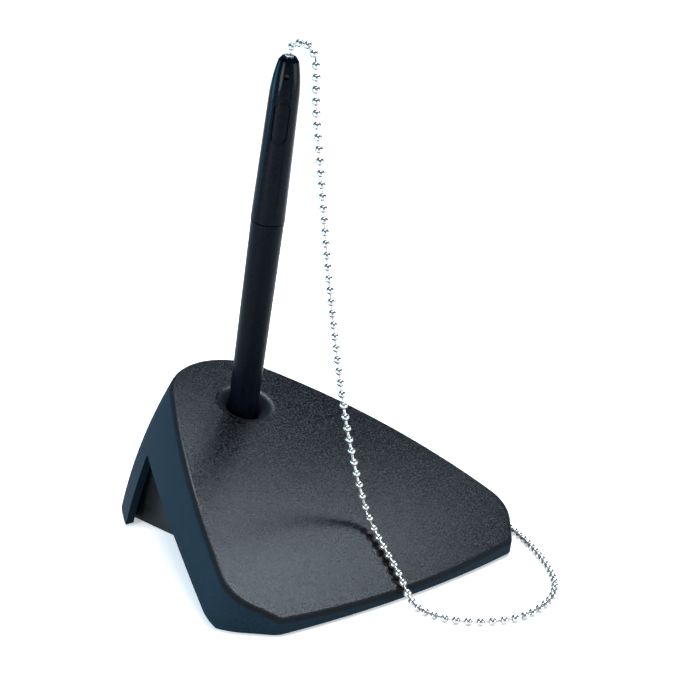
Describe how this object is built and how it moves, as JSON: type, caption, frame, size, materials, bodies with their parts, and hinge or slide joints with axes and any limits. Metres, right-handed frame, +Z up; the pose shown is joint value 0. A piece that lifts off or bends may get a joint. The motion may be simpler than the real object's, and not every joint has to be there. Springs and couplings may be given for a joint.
{
  "type": "pen stand",
  "caption": "Sloping weighted counter stand with a dished socket, holding a two-part ballpoint pen that is tethered to it by a ball chain.",
  "frame": {"origin": "on the counter, under the middle of the stand's box without its chain", "axes": "+Z up, -Y to the low front edge that faces the writer, +X to the writer's right"},
  "size_m": [0.117, 0.1562, 0.1549],
  "materials": {
    "grained_black_plastic": "fine moulded grain",
    "black_plastic": "plain moulded",
    "pen_plastic": "satin",
    "refill_plastic": "smooth",
    "cast_iron": "as cast",
    "screw_steel": "zinc plated",
    "carbide": "polished",
    "nickel": "bright nickel plate",
    "brass": "turned",
    "foot_rubber": "matt"
  },
  "bodies": {
    "base": {"base_shell": "grained_black_plastic", "pen_socket": "black_plastic", "weight_tray": "black_plastic", "ballast_weight": "cast_iron", "tray_screws": "screw_steel", "rubber_feet": "foot_rubber", "anchor_eyelet": "nickel", "anchor_stop": "nickel", "chain_hanging": "nickel", "chain_lying": "nickel"},
    "pen": {"pen_lower_barrel": "pen_plastic", "refill_tube": "refill_plastic", "refill_plug": "refill_plastic", "refill_tip": "brass", "writing_ball": "carbide"},
    "pen_top": {"pen_upper_barrel": "pen_plastic", "retaining_pin": "screw_steel", "chain_end": "nickel", "top_ferrule": "nickel"}
  },
  "joints": [
    {"name": "pen_lift", "type": "slide", "parent": "base", "child": "pen", "axis": [0, -0.2079, 0.9781], "range_m": [0, 0.04], "deforming": ["chain_hanging"]},
    {"name": "barrel_turn", "type": "hinge", "parent": "pen", "child": "pen_top", "pos_m": [0, 0.02029, 0.0087], "axis": [0, -0.2079, 0.9781], "range_deg": [0, 720]}
  ]
}
